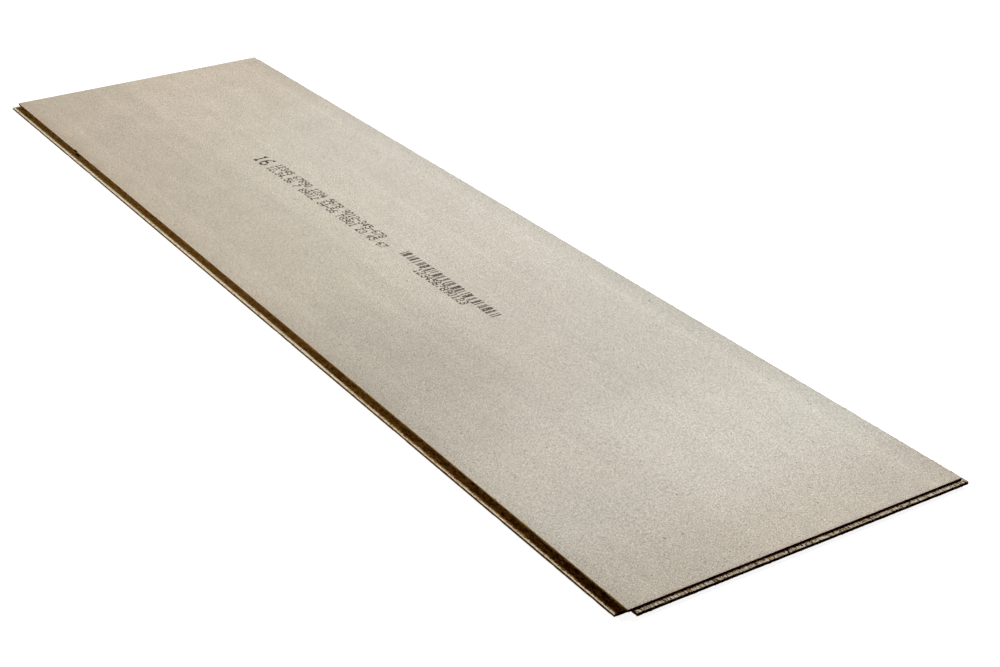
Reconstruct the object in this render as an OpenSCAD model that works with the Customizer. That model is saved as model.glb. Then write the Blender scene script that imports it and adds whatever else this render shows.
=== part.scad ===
// Chipboard floor panel, pressed and milled from one sheet.
//
// The panel lies flat, good face up. X runs along its length and Y across its width.
// The origin is on the underside, below the middle of the covering face.
// Tongues run along the +X end and the +Y side. Grooves with a longer lower lip run
// along the -X end and the -Y side, so that panels lock into one another in both directions.

/* [Board] */
// Covering length of the face, from shoulder to shoulder
face_length = 2400; // [1200:10:3000]
// Covering width of the face, from shoulder to shoulder
face_width = 600; // [300:10:1250]
// Thickness of the board
board_t = 16; // [15:0.5:28]

/* [Groove] */
// Thickness of the upper lip, between the face and the groove
upper_lip_t = 4.5; // [3:0.1:5]
// Height of the groove between its lips
groove_h = 6; // [4:0.1:7]
// Reach of the lower lip past the edge of the face
lower_lip_reach = 12; // [8:0.5:20]
// Fall of the lower lip's upper face from the mouth of the groove to the nose
lower_lip_fall = 1; // [0:0.1:1.5]

/* [Tongue] */
// Reach of the tongue past the edge of the face
tongue_reach = 7.5; // [5:0.1:12]
// Chamfer on the tongue's two long arrises
tongue_chamfer = 0.6; // [0.2:0.1:1.2]

/* [Fit] */
// Clearance above the tongue, and again below it
tongue_gap = 0.1; // [0.05:0.05:0.5]
// Clearance between the tongue's tip and the bottom of the groove
groove_relief = 2; // [0.5:0.1:3]
// Clearance between the lower lip's nose and the shoulder behind it
lower_gap = 2; // [0.5:0.1:3]

/* [Hidden] */

// The groove, and the two faces of the tongue that fills it
groove_depth = tongue_reach + groove_relief;
groove_top_z = board_t - upper_lip_t;
groove_floor_z = groove_top_z - groove_h;
lip_nose_z = groove_floor_z - lower_lip_fall;
tongue_top_z = groove_top_z - tongue_gap;
tongue_bottom_z = groove_floor_z + tongue_gap;

// How far the underside stands back from the edge of the face on a tongued side
lower_setback = lower_lip_reach + lower_gap;

// How far the cuts run past the panel, so that each profile sweeps through its corners
overrun = 10;

// Outline of the tongued edge, from the underside up, for a face that ends at s
function tongued_edge(s) = [
    [s - lower_setback, 0],
    [s - lower_setback, tongue_bottom_z],
    [s + tongue_reach - tongue_chamfer, tongue_bottom_z],
    [s + tongue_reach, tongue_bottom_z + tongue_chamfer],
    [s + tongue_reach, tongue_top_z - tongue_chamfer],
    [s + tongue_reach - tongue_chamfer, tongue_top_z],
    [s, tongue_top_z],
    [s, board_t]
];

// Outline of the grooved edge, from the face down, for a face that ends at -s
function grooved_edge(s) = [
    [-s, board_t],
    [-s, groove_top_z],
    [-s + groove_depth, groove_top_z],
    [-s + groove_depth, groove_floor_z],
    [-s, groove_floor_z],
    [-s - lower_lip_reach, lip_nose_z],
    [-s - lower_lip_reach, 0]
];

// Section of the board: tongue on the right, groove on the left
module section(face) {
    polygon(concat(tongued_edge(face / 2), grooved_edge(face / 2)));
}

// The section, swept over a run that clears the whole panel
module milled_sweep(face, run) {
    reach = max(tongue_reach, lower_lip_reach) + overrun;
    rotate([90, 0, 0])
        linear_extrude(height = run + 2 * reach, center = true)
            section(face);
}

// One board: the sides and the ends are each milled right through, so every corner is the
// meeting of the two sections
module floor_panel() {
    color([0.72, 0.66, 0.58])
        intersection() {
            milled_sweep(face_length, face_width);
            rotate([0, 0, 90]) milled_sweep(face_width, face_length);
        }
}

floor_panel();
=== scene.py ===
"""Looks of the chipboard floor panel: milled edges, loose chips, marking ink, studio."""

import math
from collections import namedtuple
from types import SimpleNamespace as Recipe

import bpy
import numpy as np
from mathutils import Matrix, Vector, noise


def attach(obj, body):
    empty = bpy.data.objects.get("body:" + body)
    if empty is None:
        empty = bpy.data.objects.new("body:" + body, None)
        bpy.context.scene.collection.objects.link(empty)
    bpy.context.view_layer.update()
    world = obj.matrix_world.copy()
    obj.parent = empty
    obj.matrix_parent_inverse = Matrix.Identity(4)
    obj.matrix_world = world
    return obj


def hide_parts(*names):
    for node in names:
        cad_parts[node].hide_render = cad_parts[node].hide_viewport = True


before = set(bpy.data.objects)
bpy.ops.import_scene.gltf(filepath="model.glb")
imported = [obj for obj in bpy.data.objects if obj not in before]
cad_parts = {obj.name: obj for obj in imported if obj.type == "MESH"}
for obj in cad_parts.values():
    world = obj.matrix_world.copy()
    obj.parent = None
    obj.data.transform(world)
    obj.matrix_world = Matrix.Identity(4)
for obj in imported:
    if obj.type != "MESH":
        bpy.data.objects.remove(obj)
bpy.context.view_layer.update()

MM = 0.001

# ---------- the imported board's own levels

PANEL = "floor_panel"
Span = namedtuple("Span", "lip edge_low groove setback edge_high chamfer tongue")
Height = namedtuple("Height", "base nose floor tongue_low round_low round_high tongue_top ceiling face")


def corner_levels(axis):
    """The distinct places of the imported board's corners along one axis, lowest first."""
    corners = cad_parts[PANEL].data.vertices
    return sorted({round(corner.co[axis], 6) for corner in corners})


ALONG = Span(*corner_levels(0))
ACROSS = Span(*corner_levels(1))
UP = Height(*corner_levels(2))

# ---------- board mesh: stations of the grid

EDGE_PITCH = 1.2 * MM      # grid pitch over a milled edge, across its section
RUN_PITCH = 3.0 * MM       # grid pitch along the edges
HEIGHT_PITCH = 1.1 * MM    # grid pitch up the edges
ARRIS_BANDS = np.array([0.7, 1.8, 3.5]) * MM   # rings round each face, where its arris is worn
PLATE_STATIONS = 16        # grid stations to one plate of the plain faces
SHARP_TURN = math.radians(35)    # an edge that turns by more than this stays sharp
NO_GAP = 1e-6              # less than any step of the grid


def stretches(stops, pitch):
    """Even stations from the first stop up to, and without, the last, with one on each stop."""
    places = []
    for start, stop in zip(stops, stops[1:]):
        count = max(1, round((stop - start) / pitch))
        places += [start + (stop - start) * i / count for i in range(count)]
    return places


def stations(span):
    """Grid stations along one horizontal axis: close at the milled edges, open between them."""
    low = [span.lip, *(span.lip + ARRIS_BANDS), span.edge_low, *(span.edge_low + ARRIS_BANDS),
           span.groove]
    high = [*(span.setback - ARRIS_BANDS[::-1]), span.setback, *(span.edge_high - ARRIS_BANDS[::-1]),
            span.edge_high, span.chamfer, span.tongue]
    return np.array([*stretches(low, EDGE_PITCH), *stretches((low[-1], high[0]), RUN_PITCH),
                     *stretches(high, EDGE_PITCH), span.tongue])


def height_stations():
    """Grid stations up the board, with one shared level for each ledge of the joint."""
    stops = [UP.base, UP.base + ARRIS_BANDS[0], UP.floor, UP.round_low, UP.round_high,
             UP.ceiling, UP.face - ARRIS_BANDS[0], UP.face]
    return np.array([*stretches(stops, HEIGHT_PITCH), UP.face])


XS, YS, ZS = stations(ALONG), stations(ACROSS), height_stations()


def index_of(places, value):
    """The number of the station nearest to a place."""
    return int(np.argmin(np.abs(places - value)))


LEDGE_LOW = index_of(ZS, UP.floor)
LEDGE_HIGH = index_of(ZS, UP.ceiling)

# ---------- board mesh: cells and walls


def between(places, low, high):
    """Which cells of one axis lie between two levels."""
    middle = (places[:-1] + places[1:]) / 2
    return (middle > low) & (middle < high)


def solid_cells():
    """True for every grid cell that holds board: three stacked slabs, each shifted sideways."""
    cells = np.zeros((len(XS) - 1, len(YS) - 1, len(ZS) - 1), dtype=bool)
    slabs = ((0, LEDGE_LOW, "lip", "setback"),
             (LEDGE_LOW, LEDGE_HIGH, "groove", "tongue"),
             (LEDGE_HIGH, len(ZS) - 1, "edge_low", "edge_high"))
    for first, last, low, high in slabs:
        in_x = between(XS, getattr(ALONG, low), getattr(ALONG, high))
        in_y = between(YS, getattr(ACROSS, low), getattr(ACROSS, high))
        cells[:, :, first:last] = (in_x[:, None] & in_y[None, :])[:, :, None]
    return cells


def plate_limits(low, high):
    """Grid indices of the plain field inside one face's worn rings."""
    margin = ARRIS_BANDS[-1]
    return (index_of(XS, getattr(ALONG, low) + margin), index_of(XS, getattr(ALONG, high) - margin),
            index_of(YS, getattr(ACROSS, low) + margin), index_of(YS, getattr(ACROSS, high) - margin))


FACE_FIELD = plate_limits("edge_low", "edge_high")
BASE_FIELD = plate_limits("lip", "setback")


def wall_quads(cells):
    """Grid corners of each cell wall between board and air, wound to face the air."""
    padded = np.pad(cells, 1).astype(np.int8)
    walls = []
    for axis in range(3):
        second, third = (axis + 1) % 3, (axis + 2) % 3
        change = np.diff(padded, axis=axis)
        for sign in (1, -1):
            found = np.argwhere(change == sign)
            found[:, second] -= 1
            found[:, third] -= 1
            if axis == 2:
                found = found[~in_field(found)]
            ring = [(0, 0), (0, 1), (1, 1), (1, 0)]
            corners = []
            for step_second, step_third in ring[::sign]:
                corner = found.copy()
                corner[:, second] += step_second
                corner[:, third] += step_third
                corners.append(corner)
            walls.append(np.stack(corners, axis=1))
    return np.concatenate(walls)


def in_field(found):
    """Walls that belong to the plain field of the face or the underside."""
    inside = np.zeros(len(found), dtype=bool)
    for level, (x0, x1, y0, y1) in ((len(ZS) - 1, FACE_FIELD), (0, BASE_FIELD)):
        inside |= ((found[:, 2] == level) & (found[:, 0] >= x0) & (found[:, 0] < x1)
                   & (found[:, 1] >= y0) & (found[:, 1] < y1))
    return inside


def field_plates(field, level, upward):
    """Plain plates over one field, with the rim's plates taking in every station of the rim."""
    x0, x1, y0, y1 = field
    columns = [*range(x0, x1, PLATE_STATIONS), x1]
    rows = [*range(y0, y1, PLATE_STATIONS), y1]
    plates = []
    for left, right in zip(columns, columns[1:]):
        for front, back in zip(rows, rows[1:]):
            bottom = range(left, right) if front == y0 else (left,)
            side = range(front, back) if right == x1 else (front,)
            top = range(right, left, -1) if back == y1 else (right,)
            flank = range(back, front, -1) if left == x0 else (back,)
            ring = [(i, front, level) for i in bottom] + [(right, j, level) for j in side]
            ring += [(i, back, level) for i in top] + [(left, j, level) for j in flank]
            plates.append(ring if upward else ring[::-1])
    return plates


# ---------- board mesh: from grid to board


def shaped(grid):
    """Places of grid corners, with the joint's small offsets, its falling lip and its chamfers."""
    i, j, k = grid.T
    x, y, z = XS[i].copy(), YS[j].copy(), ZS[k].copy()
    grooved = (x <= ALONG.groove) | (y <= ACROSS.groove)
    z[(k == LEDGE_LOW) & ~grooved] = UP.tongue_low
    z[(k == LEDGE_HIGH) & ~grooved] = UP.tongue_top
    past_x = (ALONG.edge_low - x) / (ALONG.edge_low - ALONG.lip)
    past_y = (ACROSS.edge_low - y) / (ACROSS.edge_low - ACROSS.lip)
    past = np.clip(np.maximum(past_x, past_y), 0, 1)
    lip_top = UP.floor + (UP.nose - UP.floor) * past
    low = k <= LEDGE_LOW
    z[low] *= (lip_top / UP.floor)[low] ** (past[low] > 0)
    soften = (ALONG.tongue - ALONG.chamfer) / 2
    tip_x, tip_y = x >= ALONG.tongue, y >= ACROSS.tongue
    for level, way in ((LEDGE_LOW, 1), (LEDGE_HIGH, -1)):
        x[(k == level) & tip_x] -= soften
        y[(k == level) & tip_y] -= soften
        z[(k == level) & (tip_x | tip_y)] += way * soften
    return np.stack([x, y, z], axis=1)


FINISH = 0.05 * MM  # sanding allowance that the ink's film lies in
GRAIN = Vector((1 / (7 * MM), 1 / (7 * MM), 1 / (1.2 * MM)))    # chips per metre along X, Y and Z
MILLED = Recipe(  # depths in mm that the cutter tears out of a wall
    mean=0.16, rolling=0.12, stepped=0.10, pit=1.6, pit_from=0.32, layer_scale=0.8, pit_scale=1.3,
    layer_start=Vector((3.1, 7.7, 1.3)), pit_start=Vector((11.0, 5.0, 2.0)))
WORN = Recipe(  # depths in mm that an arris has lost
    mean=0.12, crumb=0.35, bite=2.6, bite_from=0.38, torn_out=1.6, crumb_length=6 * MM,
    bite_length=23 * MM, crumb_start=Vector((5.0, 2.0, 9.0)), bite_start=Vector((1.0, 8.0, 4.0)))
CHIP_OUT = (-0.828, -0.2975)  # where a chip has torn out at the arris over the groove: carved, and its hollow's shade painted dark on the lip
CHIP_OUT_REACH = (0.014, 0.0055)


def scaled(place, scale):
    """A place with each of its three numbers scaled by its own share."""
    return Vector((place[0] * scale[0], place[1] * scale[1], place[2] * scale[2]))


def milled_depth(place):
    """How far the cutter's torn chips lie below the nominal surface."""
    spot = scaled(place, GRAIN)
    torn = noise.noise(spot)
    layer = noise.cell(scaled(place, GRAIN * MILLED.layer_scale) + MILLED.layer_start)
    pit = max(0.0, noise.noise(spot * MILLED.pit_scale + MILLED.pit_start) - MILLED.pit_from)
    depth = MILLED.mean + MILLED.rolling * torn + MILLED.stepped * layer + MILLED.pit * pit
    return max(0.0, depth) * MM


def nick_depth(place):
    """How much an arris has crumbled at one place."""
    crumb = noise.noise(Vector(place) / WORN.crumb_length + WORN.crumb_start)
    bite = noise.noise(Vector(place) / WORN.bite_length + WORN.bite_start)
    torn_out = math.exp(-sum(((place[i] - CHIP_OUT[i]) / CHIP_OUT_REACH[i]) ** 2 for i in (0, 1)))
    lost = WORN.mean + WORN.crumb * max(0.0, crumb) + WORN.bite * max(0.0, bite - WORN.bite_from)
    return (lost + WORN.torn_out * torn_out) * MM


def board_mesh():
    """The whole board as one closed mesh, carved inwards from its nominal shape."""
    walls = wall_quads(solid_cells())
    plates = field_plates(FACE_FIELD, len(ZS) - 1, True) + field_plates(BASE_FIELD, 0, False)
    grid_shape = (len(XS), len(YS), len(ZS))
    wall_keys = np.ravel_multi_index(walls.reshape(-1, 3).T, grid_shape)
    plate_keys = [np.ravel_multi_index(np.array(plate).T, grid_shape) for plate in plates]
    keys, numbered = np.unique(np.concatenate([wall_keys, *plate_keys]), return_inverse=True)
    grid = np.stack(np.unravel_index(keys, grid_shape), axis=1)
    faces = numbered[:len(wall_keys)].reshape(-1, 4).tolist()
    start = len(wall_keys)
    for plate in plate_keys:
        faces.append(numbered[start:start + len(plate)].tolist())
        start += len(plate)
    places = shaped(grid)
    mesh = bpy.data.meshes.new("board")
    mesh.from_pydata(places.tolist(), [], faces)
    normals = np.zeros(len(places) * 3)
    mesh.vertex_normals.foreach_get("vector", normals)
    normals = normals.reshape(-1, 3)
    depth = np.array([carved(*row) for row in zip(grid.tolist(), places.tolist())])
    places -= normals * depth[:, None]
    on_face = grid[:, 2] == len(ZS) - 1
    places[on_face, 2] -= FINISH
    mesh.vertices.foreach_set("co", places.ravel())
    flat = np.zeros(len(faces), dtype=bool)
    flat[len(walls):] = True
    mesh.polygons.foreach_set("use_smooth", ~flat)
    mesh.set_sharp_from_angle(angle=SHARP_TURN)
    level = walls[:, :, 2]
    plain = (level == 0).all(axis=1) | (level == len(ZS) - 1).all(axis=1)
    milled = mesh.attributes.new("milled", "BOOLEAN", "FACE")
    milled.data.foreach_set("value", np.concatenate([~plain, np.zeros(len(plates), bool)]))
    mesh.validate()
    mesh.update()
    return mesh


def carved(index, place):
    """Depth cut away at one grid corner: torn chips on milled walls, crumbs along the arrises."""
    level = index[2]
    if 0 < level < len(ZS) - 1:
        return milled_depth(place)
    low, high = ("edge_low", "edge_high") if level else ("lip", "setback")
    inset = min(place[0] - getattr(ALONG, low), getattr(ALONG, high) - place[0],
                place[1] - getattr(ACROSS, low), getattr(ACROSS, high) - place[1])
    if inset >= ARRIS_BANDS[-1] - NO_GAP:
        return 0.0
    return nick_depth(place) * (1 - inset / ARRIS_BANDS[-1]) ** 2


# ---------- node trees


def operator(operation, swapped=False):
    """A Python operator that makes a Math node."""
    def operate(self, other):
        return self.math(operation, *((other, self) if swapped else (self, other)))
    return operate


class Wire:
    """One output of a node, which Python arithmetic turns into Math nodes."""

    __add__, __radd__ = operator("ADD"), operator("ADD", swapped=True)
    __sub__, __rsub__ = operator("SUBTRACT"), operator("SUBTRACT", swapped=True)
    __mul__, __rmul__ = operator("MULTIPLY"), operator("MULTIPLY", swapped=True)
    __truediv__, __pow__ = operator("DIVIDE"), operator("POWER")
    __gt__, __lt__ = operator("GREATER_THAN"), operator("LESS_THAN")

    def __init__(self, tree, socket):
        self.tree, self.socket = tree, socket

    def math(self, operation, first, second=0.0):
        """A Math node on two outputs, or on an output and a number."""
        return self.tree.node("ShaderNodeMath", {"operation": operation}, {0: first, 1: second})

    def magnitude(self):
        """The value without its sign."""
        return self.math("ABSOLUTE", self)

    def part(self, number):
        """One of the other outputs of the same node, by number or name."""
        return Wire(self.tree, self.socket.node.outputs[number])

    def ramp_between(self, low, high):
        """0 below low, 1 above high and smooth between them."""
        return self.tree.node("ShaderNodeMapRange", {"interpolation_type": "SMOOTHSTEP"},
                              {"Value": self, "From Min": low, "From Max": high})


class Tree:
    """A node tree, which its methods fill."""

    def __init__(self, tree):
        self.tree = tree

    def node(self, kind, settings=None, inputs=None, output=0):
        """Makes a node, sets it up, feeds its sockets and gives one of its outputs."""
        made = self.tree.nodes.new(kind)
        for name, value in (settings or {}).items():
            setattr(made, name, value)
        for name, value in (inputs or {}).items():
            if isinstance(value, Wire):
                self.tree.links.new(value.socket, made.inputs[name])
            else:
                made.inputs[name].default_value = value
        return Wire(self, made.outputs[output]) if len(made.outputs) else made

    def ramp(self, value, stops):
        """The colour of a value, on a ramp through given places and colours."""
        made = self.node("ShaderNodeValToRGB", {}, {"Fac": value})
        elements = made.socket.node.color_ramp.elements
        while len(elements) < len(stops):
            elements.new(1.0)
        for element, (place, colour) in zip(elements, stops):
            element.position = place
            element.color = (*colour, 1.0)
        return made

    def blend(self, share, first, second):
        """Mixes two colours."""
        return self.node("ShaderNodeMix", {"data_type": "RGBA"}, {0: share, 6: first, 7: second}, 2)

    def tint(self, colour, amount):
        """Multiplies a colour or a vector by one number."""
        return self.node("ShaderNodeVectorMath", {"operation": "SCALE"}, {0: colour, "Scale": amount})

    def times(self, first, second):
        """Multiplies two colours or two vectors, part by part."""
        return self.node("ShaderNodeVectorMath", {"operation": "MULTIPLY"}, {0: first, 1: second})

    def split(self, place):
        """The X of a place, with its Y and Z as parts 1 and 2."""
        return self.node("ShaderNodeSeparateXYZ", {}, {0: place})

    def own_place(self):
        """Where on its own piece a surface lies."""
        return self.node("ShaderNodeTexCoord", {}, {}, "Object")


def linear(*display):
    """A colour given in display values from 0 to 255, as the linear values that shaders take."""
    shares = [value / 255 for value in display]
    return tuple(share / 12.92 if share <= 0.04045 else ((share + 0.055) / 1.055) ** 2.4
                 for share in shares)


def new_material(name):
    """An empty material, and its tree."""
    material = bpy.data.materials.new(name)
    material.use_nodes = True
    material.node_tree.nodes.clear()
    return material, Tree(material.node_tree)


def surfaced(material, tree, inputs):
    """A material with its one surface, matt unless it is told otherwise."""
    shader = tree.node("ShaderNodeBsdfPrincipled", {}, {"Specular IOR Level": 0.0, **inputs})
    tree.node("ShaderNodeOutputMaterial", {}, {"Surface": shader})
    return material


# ---------- chipboard: colours and sizes

CORE_TONES = ((0.0, linear(46, 22, 7)), (0.2, linear(112, 80, 46)), (0.4, linear(170, 148, 115)),
              (0.6, linear(196, 181, 153)), (1.0, linear(217, 211, 197)))
GROOVE_SHADE_TINT = (1.0, 0.84, 0.52)      # a browner tint, painted shade in the groove
END_CUT_SHADE_TINT = (1.05, 0.45, 0.20)    # a redder, darker tint on the upright cuts of the tongued end, painted shade
TOASTED = (0.93, 0.86, 0.83)     # what the hot cutter does to the sanded face along the tongued end's arris
SANDED_TONES = ((0.645, 0.623, 0.562, 1.0), (0.600, 0.522, 0.428, 1.0))     # clean, and stained
INK_TONES = ((*linear(46, 36, 24), 1.0), (*linear(88, 73, 52), 1.0))        # full, and soaked in
BARK_TONES = ((*linear(52, 40, 28), 1.0), (*linear(128, 108, 84), 1.0))

MIDDLE = (UP.face + UP.base) / 2
DEPTHS = Recipe(  # heights over and under the middle between which one layer takes over
    core_ends=(4.2 * MM, 6.6 * MM), skin_starts=(4.5 * MM, 7.2 * MM), sanded=(7.4 * MM, 7.8 * MM))
LEVELNESS = (0.35, 0.85)  # upward shares of a normal between which a surface turns level
END_GRAIN_AND_SHADE = Recipe(contrast=0.35, dark=0.20, skin_dark=0.12)  # what an upright cut loses: partly darker end grain, partly painted shade
SKIN_AND_PAINTED_LIGHT = Recipe(  # the dense layer: where along X its painted light rises and eases, its paleness and the shoulder's painted shade
    rise=(-0.3, 1.1), eases=(0.95, 1.2), ease=0.5, upper=3.6, burnt=1.3,
    end_margin=1.5 * MM, shoulder_margin=0.5 * MM)
LIP_PAINTED_LIGHT = Recipe(  # the lower lip: its pale nose, a painted highlight, and the brown of the groove behind it, a painted shadow
    pale_to=4.8 * MM, brown_from=7.2 * MM,  # how far in from the nose
    narrower=3.7 * MM, narrows=(0.0, 0.7),  # how much narrower the painted highlight gets, and where
    ragged=5, above_nose=0.5 * MM, under_tongue=0.3 * MM,  # ragged is in mm
    # the browns and evened paint the groove's shadow, pale paints the nose's highlight, and the last
    # three paint the chip-out's shade
    brown=0.095, browner=0.18, brownest=0.12, browns=(-0.3, 1.2), browns_most=(0.9, 1.2),
    evened=0.7, pale=0.45, knot_lean=0.3, knot_edge=(0.3, 0.6), knot=1.2)

CORE_CHIP = (7.5 * MM, 2.2 * MM, 0.9 * MM)  # length, width and thickness
HEAPED = ((8, 1.0), (52, 0.55), (101, 0.5), (148, 0.4))  # turn in degrees and share of each layer
FINE_CHIPS = (20, (1.0 * MM, 0.7 * MM, 0.5 * MM))  # turn in degrees, and size
SLIVERS = (75, (3.0 * MM, 1.1 * MM, 0.9 * MM))
FRAY = (1.2 * MM, 900.0)  # how far outlines are shaken, and the shake's waves per metre
CHIP_OUT_SHADE_FRAY = (14 * MM, 180.0)
WAVES = Recipe(  # waves per metre of each noise along X, Y and Z
    fibre=(420.0, 420.0, 2400.0), dust=(900.0, 900.0, 2600.0), gaps=(160.0, 160.0, 700.0),
    chip=(700.0, 700.0, 3000.0), lip=(260.0, 260.0, 1.0), grain=(310.0, 520.0, 1.0),
    clouds=(3.1, 4.7, 1.0), streaks=(1.4, 34.0, 1.0), mottle=(11.0, 22.0, 1.0),
    soak=(400.0, 400.0, 400.0), bark=(900.0, 900.0, 900.0))
BROAD = (4.0, 0.6)  # detail and roughness of the clouds and streaks

# ---------- chipboard: patterns


def chip_layer(tree, place, turn, size):
    """One layer of chips that all lie one way. Gives each chip a random tone and a random rank."""
    turned = tree.node("ShaderNodeMapping", {"vector_type": "POINT"},
                       {"Vector": place, "Rotation": (0.0, 0.0, math.radians(turn)),
                        "Scale": tuple(1 / side for side in size)})
    chip = tree.node("ShaderNodeTexVoronoi", {"voronoi_dimensions": "3D", "feature": "F1"},
                     {"Vector": turned, "Scale": 1.0, "Randomness": 1.0}, "Color")
    tone = tree.node("ShaderNodeSeparateColor", {}, {"Color": chip})
    return tone, tone.part(1)


def chip_tones(tree, place, size):
    """Chips of one size, heaped in four directions, with tones from 0 to 1."""
    tone = None
    for turn, share in HEAPED:
        layer, rank = chip_layer(tree, place, turn, size)
        tone = layer if tone is None else tone + (layer - tone) * (rank < share)
    return tone


def value_noise(tree, place, scale, detail=2.0, roughness=0.5):
    """Plain noise from 0 to 1, with scale in waves per metre along X, Y and Z."""
    return tree.node("ShaderNodeTexNoise", {"noise_dimensions": "3D"},
                     {"Vector": tree.times(place, scale), "Scale": 1.0, "Detail": detail,
                      "Roughness": roughness})


def frayed(tree, place, amount, scale):
    """Places shaken a little, so that chip outlines are ragged."""
    shake = tree.node("ShaderNodeTexNoise", {"noise_dimensions": "3D"},
                      {"Vector": place, "Scale": scale, "Detail": 2.0}, "Color")
    centred = tree.node("ShaderNodeVectorMath", {"operation": "SUBTRACT"},
                        {0: shake, 1: (0.5, 0.5, 0.5)})
    return tree.node("ShaderNodeVectorMath", {"operation": "ADD"},
                     {0: place, 1: tree.tint(centred, amount)})


def uprightness(tree):
    """0 on level surfaces and 1 on upright ones, where chips show their cut ends, drawn darker partly
    as painted shade.
    """
    facing = tree.node("ShaderNodeTexCoord", {}, {}, "Normal")
    level = tree.split(facing).part(2).magnitude()
    return 1 - level.ramp_between(*LEVELNESS)


def core_colour(tree, place, tone, groove, upright):
    """Tones as colours: darker on upright cuts, partly end grain and partly painted shade, less so in
    the dense skin, with painted shade browning the groove and reddening the tongued end's upright cuts."""
    skin, end = skin_and_painted_light(tree, place)
    # upright cuts darker: partly end grain, partly painted shade
    cut = tone * (1 - END_GRAIN_AND_SHADE.contrast * upright)
    cut -= (END_GRAIN_AND_SHADE.dark - END_GRAIN_AND_SHADE.skin_dark * skin) * upright
    plain = tree.ramp(cut, CORE_TONES)
    # painted shade: the groove browned, and the tongued end's upright cuts reddened
    browned = tree.blend(groove ** 3, plain, tree.times(plain, GROOVE_SHADE_TINT))
    return tree.blend(end * upright, browned, tree.times(plain, END_CUT_SHADE_TINT))


def skin_and_painted_light(tree, place):
    """How pale the dense layer under each sanded face is: 0 in the core, more in the upper layer
    towards the tongued end, where the rise is painted light, and less than 0 on the shoulder over the
    end tongue, painted shade. Gives that, and 1 on the cuts of the tongued end."""
    x = tree.split(place)
    height = x.part(2) - MIDDLE
    end = x > ALONG.edge_high - SKIN_AND_PAINTED_LIGHT.end_margin
    shoulder = end * (x < ALONG.edge_high + SKIN_AND_PAINTED_LIGHT.shoulder_margin)
    # painted light: paler towards the tongued end in the upper layer
    rise = x.ramp_between(*SKIN_AND_PAINTED_LIGHT.rise) * (1 - SKIN_AND_PAINTED_LIGHT.ease * x.ramp_between(*SKIN_AND_PAINTED_LIGHT.eases))
    pale = (1 + SKIN_AND_PAINTED_LIGHT.upper * rise * (height > 0.0)) * (1 - end)
    return height.magnitude().ramp_between(*DEPTHS.skin_starts) * pale - SKIN_AND_PAINTED_LIGHT.burnt * shoulder, end


def lip_painted_light_and_shade(tree, place, chips, lying):
    """Tones of chips with painted light and shade on the lower lip: paler out by its nose as a painted
    highlight, brown and even in the groove as a painted shadow, and dark in the chip-out as painted
    shade.
    Gives the tones, and 1 in the groove and 0 outside it."""
    x = tree.split(place)
    shift = LIP_PAINTED_LIGHT.narrower * x.ramp_between(*LIP_PAINTED_LIGHT.narrows)
    shift += (value_noise(tree, place, WAVES.lip) - 0.5) * LIP_PAINTED_LIGHT.ragged * MM
    past_y = (x.part(1) + shift).ramp_between(ACROSS.lip + LIP_PAINTED_LIGHT.pale_to, ACROSS.lip + LIP_PAINTED_LIGHT.brown_from)
    past_x = (x + shift).ramp_between(ALONG.lip + LIP_PAINTED_LIGHT.pale_to, ALONG.lip + LIP_PAINTED_LIGHT.brown_from)
    height = x.part(2)
    ragged = tree.split(frayed(tree, place, *CHIP_OUT_SHADE_FRAY))
    leaning = ragged.part(1) + LIP_PAINTED_LIGHT.knot_lean * (height - UP.ceiling)
    # painted shade in the chip-out's hollow
    knot = patch(ragged, leaning, CHIP_OUT, CHIP_OUT_REACH).ramp_between(*LIP_PAINTED_LIGHT.knot_edge)
    lip = (height > UP.nose - LIP_PAINTED_LIGHT.above_nose) * (height < UP.tongue_low + LIP_PAINTED_LIGHT.under_tongue) * lying
    groove = lip * past_x * past_y
    # painted shadow in the groove: its brown, deepening towards the tongued end
    brown = LIP_PAINTED_LIGHT.brown + LIP_PAINTED_LIGHT.browner * x.ramp_between(*LIP_PAINTED_LIGHT.browns)
    brown += LIP_PAINTED_LIGHT.brownest * x.ramp_between(*LIP_PAINTED_LIGHT.browns_most)
    # painted highlight on the nose, painted shadow evened and browned in the groove
    tone = 0.5 + (chips - 0.5) * (1 - LIP_PAINTED_LIGHT.evened * groove) + LIP_PAINTED_LIGHT.pale * (lip - groove) - brown * groove
    return tone - LIP_PAINTED_LIGHT.knot * knot, groove


def patch(x, y, centre, reach):
    """A soft round patch: 1 at its centre, 0 past its reach."""
    off_x = (x - centre[0]) / reach[0]
    off_y = (y - centre[1]) / reach[1]
    return 1 - (off_x * off_x + off_y * off_y).ramp_between(0.0, 1.0)


BELT_LINES = (0.253, 0.141, 0.056, -0.115, -0.248)  # places across of the sanding belts' paler lines
BELT_LINE_REACH = 11 * MM
BELT_LAP = (-0.070, -0.050)  # and where one belt's darker strip ends
REACH = Recipe(  # how far into the face each of its edges is felt
    grooved_end=0.75, tongued_end=0.25, groove_side=0.035, tongue_side=0.05, toast=6 * MM)
STAIN = Recipe(  # how browned the face is, and the sum at which it is fully so
    plain=0.06, along=0.16, corner=0.95, grooved_end=0.95, tongued_end=0.7, groove_side=0.4,
    clouds=0.5, full=1.4)
SHADE = Recipe(  # how light the face is: its plain level, and what each part of it adds or takes; the gradients along, across and at the tongued end are painted shade
    plain=1.016, along=0.05, across=0.065, end_across=0.06, end=0.03, lap=0.055, groove_side=0.05,
    tongue_side=0.09, lines=0.03, streaks=0.10, clouds=0.06, mottle=0.16, mottle_least=0.3)
SPECKLE = Recipe(  # contrast of each kind of chip, and the share of chips that are of that kind
    fine=0.80, fine_mean=0.48, sliver=0.45, sliver_mean=0.70, slivers=0.05, dark=0.50, darks=0.03,
    bark=0.85, all_but_bark=0.9988, grain=0.5)
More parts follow.
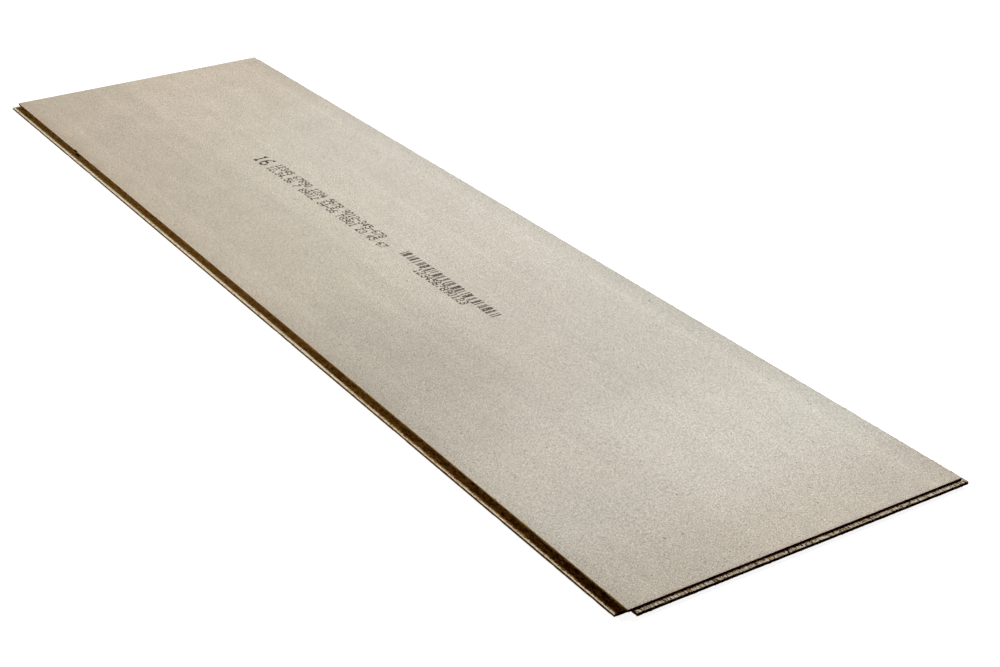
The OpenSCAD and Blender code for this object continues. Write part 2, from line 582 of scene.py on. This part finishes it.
CLOUDED = (  # soft lighter and darker patches of the face: strength, centre, reach
    (-0.10, (0.46, -0.27), (0.42, 0.24)),
    (0.07, (0.92, -0.05), (0.22, 0.60)),
    (-0.05, (0.45, 0.10), (0.40, 0.30)),
    (-0.025, (-0.25, -0.18), (0.60, 0.12)),
    (-0.03, (-0.40, 0.19), (0.70, 0.07)),
    (0.05, (-1.15, -0.05), (0.40, 0.35)),
    (0.055, (0.70, -0.20), (0.18, 0.20)),
    (0.04, (1.12, -0.03), (0.14, 0.26)),
)


def sanded_colour(tree, place, ragged):
    """The fine sanded faces: speckled, faintly streaked along the board, browner to one corner and
    darkened in broad gradients as painted shade. Gives the colour and its speckle."""
    x = tree.split(place)
    y = x.part(1)
    along = 0.5 - x / (ALONG.edge_high - ALONG.edge_low)
    across = 0.5 - y / (ACROSS.edge_high - ACROSS.edge_low)
    grooved_end = 1 - x.ramp_between(ALONG.edge_low, ALONG.edge_low + REACH.grooved_end)
    tongued_end = x.ramp_between(ALONG.edge_high - REACH.tongued_end, ALONG.edge_high)
    groove_side = 1 - y.ramp_between(ACROSS.edge_low, ACROSS.edge_low + REACH.groove_side)
    tongue_side = y.ramp_between(ACROSS.edge_high - REACH.tongue_side, ACROSS.edge_high)
    belt_lap = 1 - y.ramp_between(*BELT_LAP)
    off_lines = ((y - line).magnitude() for line in BELT_LINES)
    belt_lines = sum(1 - off.ramp_between(0.0, BELT_LINE_REACH) for off in off_lines)
    clouds = value_noise(tree, place, WAVES.clouds, *BROAD)
    streaks = value_noise(tree, place, WAVES.streaks, *BROAD)
    mottle = value_noise(tree, place, WAVES.mottle, 1.0) - 0.5
    mottle = mottle * (SHADE.mottle_least + (1 - SHADE.mottle_least) * along)

    stain = STAIN.plain + STAIN.along * along + STAIN.corner * along * across
    stain += STAIN.grooved_end * grooved_end * (1 - across)
    stain += STAIN.tongued_end * tongued_end
    stain += STAIN.groove_side * groove_side * along
    stain += (clouds - 0.5) * STAIN.clouds
    base = tree.blend(stain / STAIN.full, *SANDED_TONES)

    # painted shade: the face darkens along, across and at the tongued end
    shade = SHADE.plain - SHADE.along * along - SHADE.across * across
    shade += (SHADE.end_across * across - SHADE.end) * tongued_end
    shade -= SHADE.lap * belt_lap
    shade -= SHADE.groove_side * groove_side
    shade -= SHADE.tongue_side * tongue_side
    shade += sum(strength * patch(x, y, *spot) for strength, *spot in CLOUDED)
    shade += SHADE.lines * belt_lines
    shade += (streaks - 0.5) * SHADE.streaks
    shade += (clouds - 0.5) * SHADE.clouds
    shade += mottle * SHADE.mottle

    fine, rank = chip_layer(tree, ragged, *FINE_CHIPS)
    slivers, sliver_rank = chip_layer(tree, ragged, *SLIVERS)
    grain = value_noise(tree, place, WAVES.grain, 0.0) - 0.5
    speckle = (fine - SPECKLE.fine_mean) * SPECKLE.fine
    speckle += (slivers - SPECKLE.sliver_mean) * SPECKLE.sliver * (sliver_rank < SPECKLE.slivers)
    speckle -= SPECKLE.dark * (rank < SPECKLE.darks)
    speckle -= SPECKLE.bark * (sliver_rank > SPECKLE.all_but_bark)
    speckle += grain * SPECKLE.grain
    toast = x.ramp_between(ALONG.edge_high - REACH.toast, ALONG.edge_high)
    base = tree.blend(toast, base, tree.times(base, TOASTED))
    return tree.tint(base, shade * (1 + speckle)), speckle


# ---------- materials

CORE = Recipe(  # middle tones of the coarse core and of the dense layers, and their contrasts
    mean=0.54, chips=1.1, fibre=0.4, gaps=0.3, gap_edge=(0.62, 0.68), dense_mean=0.50, dense=0.5)
ROUGH = Recipe(  # roughnesses, and how much each pattern changes them
    board=0.82, sanded=0.12, chips=0.1, chip=0.8, fibre=0.2, ink=0.65, soak=0.3, bark=0.75, mottle=0.2)
RELIEF = Recipe(strength=0.5, depth=0.25 * MM, sanded=0.12)
INK_SHINE = 0.2
SOAKED = (0.5, 0.8)  # noise levels between which the ink sinks in


def chipboard_material():
    """Fine sanded faces over a coarse core that shows where the edges are milled."""
    material, tree = new_material("sanded_chipboard")
    place = tree.own_place()
    depth = (tree.split(place).part(2) - MIDDLE).magnitude()
    upright = uprightness(tree)
    sanded = depth.ramp_between(*DEPTHS.sanded) * (1 - upright)
    core = 1 - depth.ramp_between(*DEPTHS.core_ends)
    ragged = frayed(tree, place, *FRAY)

    coarse = chip_tones(tree, ragged, CORE_CHIP)
    fibre = value_noise(tree, place, WAVES.fibre)
    dense = value_noise(tree, place, WAVES.dust)
    gaps = value_noise(tree, place, WAVES.gaps, 1.0).ramp_between(*CORE.gap_edge)
    coarse_tone = CORE.mean + (coarse - 0.5) * CORE.chips
    coarse_tone += (fibre - 0.5) * CORE.fibre
    coarse_tone -= gaps * CORE.gaps
    dense_tone = CORE.dense_mean + (dense - 0.5) * CORE.dense
    tone = dense_tone + (coarse_tone - dense_tone) * core
    tone, groove = lip_painted_light_and_shade(tree, place, tone, 1 - upright)
    milled = core_colour(tree, place, tone, groove, upright)

    face, speckle = sanded_colour(tree, place, ragged)
    colour = tree.blend(sanded, milled, face)
    rough = ROUGH.board - sanded * ROUGH.sanded + (coarse - 0.5) * ROUGH.chips
    relief = (coarse_tone + fibre) * (1 - sanded) + speckle * sanded * RELIEF.sanded
    bump = tree.node("ShaderNodeBump", {},
                     {"Strength": RELIEF.strength, "Distance": RELIEF.depth, "Height": relief})
    return surfaced(material, tree, {"Base Color": colour, "Roughness": rough, "Normal": bump})


def loose_chip_material():
    """Single chips of the core, each with the tone it was given, dark where a wall cuts it, partly as
    painted shade, and with the lip's painted light and shade.
    """
    material, tree = new_material("core_chip")
    place = tree.own_place()
    tone = tree.node("ShaderNodeAttribute", {"attribute_name": "tone"}, {}, "Fac")
    lying = tree.node("ShaderNodeAttribute", {"attribute_name": "lying"}, {}, "Fac")
    fibre = value_noise(tree, place, WAVES.chip)
    tone, groove = lip_painted_light_and_shade(tree, place, tone + (fibre - 0.5) * CORE.fibre, lying)
    colour = core_colour(tree, place, tone, groove, 1 - lying)
    rough = ROUGH.chip + (fibre - 0.5) * ROUGH.fibre
    return surfaced(material, tree, {"Base Color": colour, "Roughness": rough})


def ink_material():
    """Thin marking ink, blotchy where the chips drank it."""
    material, tree = new_material("marking_ink")
    soak = value_noise(tree, tree.own_place(), WAVES.soak, 3.0)
    colour = tree.blend(soak.ramp_between(*SOAKED), *INK_TONES)
    rough = ROUGH.ink + (soak - 0.5) * ROUGH.soak
    return surfaced(material, tree,
                    {"Base Color": colour, "Roughness": rough, "Specular IOR Level": INK_SHINE})


def bark_material():
    """Dark bark, dull and uneven."""
    material, tree = new_material("bark")
    mottle = value_noise(tree, tree.own_place(), WAVES.bark, 3.0)
    colour = tree.blend(mottle, *BARK_TONES)
    rough = ROUGH.bark + (mottle - 0.5) * ROUGH.mottle
    return surfaced(material, tree, {"Base Color": colour, "Roughness": rough})


CHIPBOARD = chipboard_material()
BARK = bark_material()
LOOSE_CHIP = loose_chip_material()
INK = ink_material()

# ---------- scene and geometry node helpers


def placed(name, data):
    """A new object in the scene."""
    made = bpy.data.objects.new(name, data)
    bpy.context.scene.collection.objects.link(made)
    return made


def sheet(name, x0, x1, y0, y1, level, loose=()):
    """A plain level rectangle, with a loose vertex at each X and Y in loose."""
    corners = [(x0, y0, level), (x1, y0, level), (x1, y1, level), (x0, y1, level)]
    mesh = bpy.data.meshes.new(name)
    mesh.from_pydata(corners + [(x, y, level) for x, y in loose], [], [(0, 1, 2, 3)])
    return mesh


def new_geometry_tree(name, sizes):
    """An empty geometry tree with a geometry in and out and one named number for each size."""
    group = bpy.data.node_groups.new(name, "GeometryNodeTree")
    group.interface.new_socket("Geometry", in_out="INPUT", socket_type="NodeSocketGeometry")
    for size in sizes:
        kind = "NodeSocketInt" if size == "Seed" else "NodeSocketFloat"
        group.interface.new_socket(size, in_out="INPUT", socket_type=kind)
    group.interface.new_socket("Geometry", in_out="OUTPUT", socket_type="NodeSocketGeometry")
    tree = Tree(group)
    source = group.nodes.new("NodeGroupInput")
    return tree, {socket.name: Wire(tree, socket) for socket in source.outputs if socket.name}


def grown(name, base_mesh, tree, sizes):
    """The mesh that a geometry tree makes from a base mesh."""
    carrier = placed(name + "_carrier", base_mesh)
    modifier = carrier.modifiers.new("grow", "NODES")
    modifier.node_group = tree.tree
    for item in tree.tree.interface.items_tree:
        if item.in_out == "INPUT" and item.name in sizes:
            modifier[item.identifier] = sizes[item.name]
    depsgraph = bpy.context.evaluated_depsgraph_get()
    mesh = bpy.data.meshes.new_from_object(carrier.evaluated_get(depsgraph), depsgraph=depsgraph)
    bpy.data.objects.remove(carrier)
    if mesh.materials[0] is None:
        mesh.materials.pop(index=0)
    mesh.name = name
    return mesh


def random_vector(tree, low, high, seed):
    """A random vector for each point, between two others."""
    return tree.node("FunctionNodeRandomValue", {"data_type": "FLOAT_VECTOR"},
                     {0: low, 1: high, "Seed": seed})


def random_number(tree, low, high, seed):
    """A random number for each point, between two others."""
    return tree.node("FunctionNodeRandomValue", {"data_type": "FLOAT"},
                     {2: low, 3: high, "Seed": seed}, 1)


def disc(tree, sides):
    """A closed disc, 1 m wide and thick, to be scaled down."""
    return tree.node("GeometryNodeMeshCylinder", {"fill_type": "NGON"},
                     {"Vertices": sides, "Radius": 0.5, "Depth": 1.0})


def noted(tree, geometry, name, value, kind="FLOAT", domain="POINT"):
    """A geometry with a value kept on each of its elements, under a name."""
    return tree.node("GeometryNodeStoreNamedAttribute", {"data_type": kind, "domain": domain},
                     {"Geometry": geometry, "Name": name, "Value": value})


def note(tree, name, kind="FLOAT"):
    """A value that was kept under a name."""
    return tree.node("GeometryNodeInputNamedAttribute", {"data_type": kind}, {"Name": name})


def dressed(tree, geometry, material):
    """The finished tree, which gives out a geometry in one material."""
    geometry = tree.node("GeometryNodeSetMaterial", {}, {"Geometry": geometry, "Material": material})
    tree.node("NodeGroupOutput", {}, {"Geometry": geometry})
    return tree


def piece(name, mesh):
    """Puts a finished mesh in the scene as a piece of the board."""
    made = placed(name, mesh)
    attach(made, "root")
    return made


# ---------- loose chips on the milled edges

LOOSE = Recipe(  # the chips' sides, tilt, and spread of sizes and tones
    sides=5, tilt=0.08, least=(0.45, 0.5, 0.6), most=(1.3, 1.4, 1.4), tones=(0.12, 1.0))
LYING = 0.7  # upward share of a wall's normal above which its chips lie level


def chips_tree():
    """Chips lying flat in the milled surfaces, cut flush with the slab that holds them."""
    tree, given = new_geometry_tree("edge_chips",
                                    ("Chips per m2", "Length", "Width", "Thickness", "Seed"))
    milled = note(tree, "milled", "BOOLEAN")
    points = tree.node("GeometryNodeDistributePointsOnFaces", {"distribute_method": "RANDOM"},
                       {"Mesh": given["Geometry"], "Selection": milled,
                        "Density": given["Chips per m2"], "Seed": given["Seed"]})
    level = tree.split(points.part("Normal")).part(2).magnitude()
    points = noted(tree, points, "lying", level > LYING)
    place = tree.node("GeometryNodeInputPosition")
    height = tree.split(place).part(2)
    below = height < (UP.floor + UP.tongue_low) / 2
    above = height > (UP.tongue_top + UP.ceiling) / 2
    for side, name in enumerate(("slab_low", "slab_high")):
        points = noted(tree, points, name, slab_bound(tree, side, below, above), "FLOAT_VECTOR")
    chip = disc(tree, LOOSE.sides)
    lay = random_vector(tree, (-LOOSE.tilt, -LOOSE.tilt, 0.0), (LOOSE.tilt, LOOSE.tilt, math.tau),
                        given["Seed"] + 1)
    spread = random_vector(tree, LOOSE.least, LOOSE.most, given["Seed"] + 2)
    base_size = tree.node("ShaderNodeCombineXYZ", {},
                          {0: given["Length"], 1: given["Width"], 2: given["Thickness"]})
    chips = tree.node("GeometryNodeInstanceOnPoints", {},
                      {"Points": points, "Instance": chip, "Rotation": lay,
                       "Scale": tree.times(spread, base_size)})
    tone = random_number(tree, *LOOSE.tones, given["Seed"] + 3)
    chips = noted(tree, chips, "tone", tone, domain="INSTANCE")
    chips = tree.node("GeometryNodeRealizeInstances", {}, {"Geometry": chips})
    low = note(tree, "slab_low", "FLOAT_VECTOR")
    high = note(tree, "slab_high", "FLOAT_VECTOR")
    raised = tree.node("ShaderNodeVectorMath", {"operation": "MAXIMUM"}, {0: place, 1: low})
    flush = tree.node("ShaderNodeVectorMath", {"operation": "MINIMUM"}, {0: raised, 1: high})
    chips = tree.node("GeometryNodeSetPosition", {}, {"Geometry": chips, "Position": flush})
    return dressed(tree, chips, LOOSE_CHIP)


def slab_bound(tree, side, below, above):
    """The low corner (side 0) or the high one (side 1) of the slab that a chip's anchor lies in."""
    base = ((ALONG.lip, ACROSS.lip, UP.base), (ALONG.setback, ACROSS.setback, UP.floor))
    joint = ((ALONG.groove, ACROSS.groove, UP.tongue_low),
             (ALONG.tongue, ACROSS.tongue, UP.tongue_top))
    face = ((ALONG.edge_low, ACROSS.edge_low, UP.ceiling),
            (ALONG.edge_high, ACROSS.edge_high, UP.face))
    lower = tree.node("GeometryNodeSwitch", {"input_type": "VECTOR"},
                      {"Switch": below, "False": joint[side], "True": base[side]})
    return tree.node("GeometryNodeSwitch", {"input_type": "VECTOR"},
                     {"Switch": above, "False": lower, "True": face[side]})


# ---------- bark flecks in the face

KNOTS = ((-0.3138, -0.0297), (0.1528, -0.0361))  # the two largest flecks
FLECK = Recipe(sides=7, least=(0.4, 0.5, 1.0), most=(1.2, 1.2, 1.0), knot=(1.9, 1.9, 1.0))


def flecks_tree():
    """Specks of bark pressed into the sanded face: scattered ones, and one on each loose vertex."""
    tree, given = new_geometry_tree("bark_flecks", ("Flecks per m2", "Length", "Width", "Film", "Seed"))
    scattered = tree.node("GeometryNodeDistributePointsOnFaces", {"distribute_method": "RANDOM"},
                          {"Mesh": given["Geometry"], "Density": given["Flecks per m2"],
                           "Seed": given["Seed"]})
    loose = tree.node("GeometryNodeInputMeshVertexNeighbors", {}, {}, "Face Count") < 0.5
    knots = tree.node("GeometryNodeMeshToPoints", {}, {"Mesh": given["Geometry"], "Selection": loose})
    speck = disc(tree, FLECK.sides)
    turn = random_vector(tree, (0.0, 0.0, 0.0), (0.0, 0.0, math.tau), given["Seed"] + 1)
    spread = random_vector(tree, FLECK.least, FLECK.most, given["Seed"] + 2)
    base_size = tree.node("ShaderNodeCombineXYZ", {},
                          {0: given["Length"], 1: given["Width"], 2: given["Film"]})
    small = tree.node("GeometryNodeInstanceOnPoints", {},
                      {"Points": scattered, "Instance": speck, "Rotation": turn,
                       "Scale": tree.times(spread, base_size)})
    large = tree.node("GeometryNodeInstanceOnPoints", {},
                      {"Points": knots, "Instance": speck, "Rotation": turn,
                       "Scale": tree.times(base_size, FLECK.knot)})
    joined = tree.node("GeometryNodeJoinGeometry", {}, {0: small})
    tree.tree.links.new(large.socket, joined.socket.node.inputs[0])
    flecks = tree.node("GeometryNodeRealizeInstances", {}, {"Geometry": joined})
    return dressed(tree, flecks, BARK)


def fleck_carrier(level):
    """A plain sheet over the face to scatter on, with a loose vertex for each knot."""
    x0, x1, y0, y1 = FACE_FIELD
    return sheet("fleck_places", XS[x0], XS[x1], YS[y0], YS[y1], level, KNOTS)


# ---------- marking

DOT_ROWS = 7
FIGURES = {
    "0": "01110 10001 10001 10001 10001 10001 01110",
    "1": "00100 01100 00100 00100 00100 00100 01110",
    "2": "01110 10001 00001 00110 01000 10000 11111",
    "3": "01110 10001 00001 00110 00001 10001 01110",
    "4": "00010 00110 01010 10010 11111 00010 00010",
    "5": "11111 10000 11110 00001 00001 10001 01110",
    "6": "00110 01000 10000 11110 10001 10001 01110",
    "7": "11111 00001 00010 00100 01000 01000 01000",
    "8": "01110 10001 10001 01110 10001 10001 01110",
    "9": "01110 10001 10001 01111 00001 00010 01100",
    "-": "00000 00000 00000 11111 00000 00000 00000",
    ".": "00000 00000 00000 00000 00000 01100 01100",
}
DOT_PITCH = (2.2 * MM, 2.45 * MM)
CHARACTER_PITCH = 13.6 * MM
BAR_PITCH = 3.45 * MM
BAR_ROWS = 9
BAR_ROW_PITCH = 2.3 * MM
PRESS = Recipe(figure=1.2, bar=1.25, light_bar=1.0)  # how wide each kind of dot is pressed
DOT = Recipe(sides=8, missed=0.03, swell=(0.8, 1.1))  # missed is a share of the dots
RUNS = (  # figures, X of their start, Y of their foot, and how far enlarged
    ("16", -568 * MM, -3 * MM, 2),
    ("12345 67890 1234 5678 9012-345-678", -503 * MM, 18 * MM, 1),
    ("12.34.56 7 89012 34-56 78901 23 45 67", -503 * MM, -2.6 * MM, 1),
)
BARS = (40 * MM, 13 * MM, 96)  # X of their start, Y of their foot, and number of dot columns
BARS_FIGURES = ("1234567890123", 120 * MM, -4.5 * MM, 1)


def figure_dots(text, start, base, enlarged):
    """Dots of a run of figures: X, Y and how hard each dot is pressed."""
    dots = []
    for number, figure in enumerate(text):
        for row, line in enumerate(FIGURES.get(figure, "").split()):
            for column, mark in enumerate(line):
                if mark == "0":
                    continue
                for i in range(enlarged):
                    for j in range(enlarged):
                        x = number * CHARACTER_PITCH * enlarged + (column * enlarged + i) * DOT_PITCH[0]
                        y = ((DOT_ROWS - 1 - row) * enlarged + j) * DOT_PITCH[1]
                        dots.append((start + x, base + y, PRESS.figure))
    return dots


def bar_dots(start, base, columns):
    """Dots of a row of bars that grow and shrink by a plain rule, every third bar struck lightly."""
    dots = []
    column, bar = 0, 0
    while column < columns:
        wide = 1 + (bar * 5 + bar // 3) % 3
        gap = 1 + (bar * 7 + bar // 4) % 2
        press = PRESS.light_bar if bar % 3 == 2 else PRESS.bar
        for line in range(column, min(column + wide, columns)):
            for row in range(BAR_ROWS):
                rise = (row + 0.5 * (line % 2)) * BAR_ROW_PITCH
                dots.append((start + line * BAR_PITCH, base + rise, press))
        column += wide + gap
        bar += 1
    return dots


def marking_dots():
    """Every dot of the marking: a number, two lines of figures, and bars with figures below."""
    dots = []
    for run in RUNS:
        dots += figure_dots(*run)
    return dots + bar_dots(*BARS) + figure_dots(*BARS_FIGURES)


def dots_tree():
    """A small disc of ink on each dot place, some missed and no two the same size."""
    tree, given = new_geometry_tree("marking_dots", ("Dot diameter", "Film", "Wander", "Seed"))
    missed = random_number(tree, 0.0, 1.0, given["Seed"])
    points = tree.node("GeometryNodeMeshToPoints", {},
                       {"Mesh": given["Geometry"], "Selection": missed > DOT.missed})
    drift = random_vector(tree, (-1.0, -1.0, 0.0), (1.0, 1.0, 0.0), given["Seed"] + 1)
    points = tree.node("GeometryNodeSetPosition", {},
                       {"Geometry": points, "Offset": tree.tint(drift, given["Wander"])})
    dot = disc(tree, DOT.sides)
    press = note(tree, "press")
    swell = random_number(tree, *DOT.swell, given["Seed"] + 2)
    across = given["Dot diameter"] * swell * press
    size = tree.node("ShaderNodeCombineXYZ", {}, {0: across, 1: across, 2: given["Film"]})
    dots = tree.node("GeometryNodeInstanceOnPoints", {},
                     {"Points": points, "Instance": dot, "Scale": size})
    dots = tree.node("GeometryNodeRealizeInstances", {}, {"Geometry": dots})
    return dressed(tree, dots, INK)


# ---------- build the pieces

board = board_mesh()
chips = grown("edge_chips", board.copy(), chips_tree(),
              {"Chips per m2": 38000.0, "Length": 5.5 * MM, "Width": 1.6 * MM,
               "Thickness": 0.35 * MM, "Seed": 4})
board.materials.append(CHIPBOARD)
panel = piece("panel_board", board)
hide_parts(PANEL)
piece("edge_chips", chips)

FILM = 0.03 * MM  # thickness of the ink and of the flecks
FILM_LEVEL = UP.face - FINISH + FILM / 2
flecks = grown("bark_flecks", fleck_carrier(FILM_LEVEL), flecks_tree(),
               {"Flecks per m2": 60.0, "Length": 2.2 * MM, "Width": 1.4 * MM, "Film": FILM, "Seed": 3})
piece("bark_flecks", flecks)

struck = marking_dots()
dot_places = bpy.data.meshes.new("dot_places")
dot_places.from_pydata([(x, y, FILM_LEVEL) for x, y, press in struck], [], [])
pressed = dot_places.attributes.new("press", "FLOAT", "POINT")
pressed.data.foreach_set("value", [press for x, y, press in struck])
marking = grown("marking", dot_places, dots_tree(),
                {"Dot diameter": 2.8 * MM, "Film": FILM, "Wander": 0.12 * MM, "Seed": 9})
piece("marking", marking)

# ---------- studio

WHITE = (1.0, 1.0, 1.0, 1.0)
FLOOR = Recipe(  # half its width, where its grey turns white, and its dye to the eye and to light
    half=20.0, grey_to_white=(2.0, 6.0), grey=(0.92, 0.92, 0.92, 1.0), paper=(0.45, 0.45, 0.45, 1.0),
    dull=(0.028, 0.028, 0.028, 1.0))
SKY_LIGHT = 0.009  # what share of its brightness the sky sheds as light
LENS = 65.08
SIGHT = 100  # how far the camera sees
EYE = (2.7674, -1.4640, 1.3960)
EYE_TURN = (63.400, 0.786, 57.750)  # degrees
LAMPS = (  # name, size, power, colour and place
    ("key", (3.0, 0.7), 305.0, (1.0, 1.0, 1.0), (-0.32, 2.75, 4.5)),
    ("fill", (1.6, 0.4), 23.0, (1.0, 0.75, 0.36), (-0.35, -2.1, 0.60)),
)


def seen_ray(tree):
    """1 for a ray that shows a surface to the eye, straight or in a gloss; 0 for one that lights."""
    rays = tree.node("ShaderNodeLightPath", {}, {}, "Is Camera Ray")
    return (rays + rays.part("Is Glossy Ray") + rays.part("Is Transmission Ray")) > 0.5


def stage_material():
    """Floor: white to the eye, with a soft shadow round the board, and dull to light that bounces."""
    material, tree = new_material("studio_floor")
    place = tree.own_place()
    distance = tree.node("ShaderNodeVectorMath", {"operation": "LENGTH"}, {0: place}, "Value")
    level = tree.blend(distance.ramp_between(*FLOOR.grey_to_white), FLOOR.grey, WHITE)
    paper = tree.node("ShaderNodeBsdfDiffuse", {}, {"Color": FLOOR.paper})
    glow = tree.node("ShaderNodeEmission", {}, {"Color": level, "Strength": 1.0})
    white = tree.node("ShaderNodeAddShader", {}, {0: paper, 1: glow})
    dull = tree.node("ShaderNodeBsdfDiffuse", {}, {"Color": FLOOR.dull})
    both = tree.node("ShaderNodeMixShader", {}, {0: seen_ray(tree), 1: dull, 2: white})
    tree.node("ShaderNodeOutputMaterial", {}, {"Surface": both})
    return material


def studio_floor():
    """A wide plain floor under the board."""
    mesh = sheet("studio_floor", -FLOOR.half, FLOOR.half, -FLOOR.half, FLOOR.half, 0)
    mesh.materials.append(stage_material())
    floor = placed("studio_floor", mesh)


def studio_world():
    """A sky that is white to the eye and sheds little light."""
    world = bpy.data.worlds.new("studio")
    world.use_nodes = True
    world.node_tree.nodes.clear()
    tree = Tree(world.node_tree)
    seen = seen_ray(tree)
    sky = tree.node("ShaderNodeBackground", {},
                    {"Color": WHITE, "Strength": SKY_LIGHT + seen * (1 - SKY_LIGHT)})
    tree.node("ShaderNodeOutputWorld", {}, {"Surface": sky})
    bpy.context.scene.world = world


def soft_box(name, size, energy, colour, place):
    """A rectangular lamp at a place, turned to face the middle of the board."""
    light = bpy.data.lights.new(name, "AREA")
    light.shape = "RECTANGLE"
    light.size, light.size_y = size
    light.energy = energy
    light.color = colour
    lamp = placed(name, light)
    lamp.location = place
    lamp.rotation_euler = Vector(place).to_track_quat("Z", "Y").to_euler()


def camera():
    """The camera, which looks along the board from its tongued end."""
    view = bpy.data.cameras.new("camera")
    view.lens = LENS
    view.clip_end = SIGHT
    eye = placed("camera", view)
    eye.location = EYE
    eye.rotation_euler = [math.radians(turn) for turn in EYE_TURN]
    bpy.context.scene.camera = eye


studio_floor()
studio_world()
for lamp in LAMPS:
    soft_box(*lamp)
camera()
bpy.context.scene.view_settings.view_transform = "Standard"
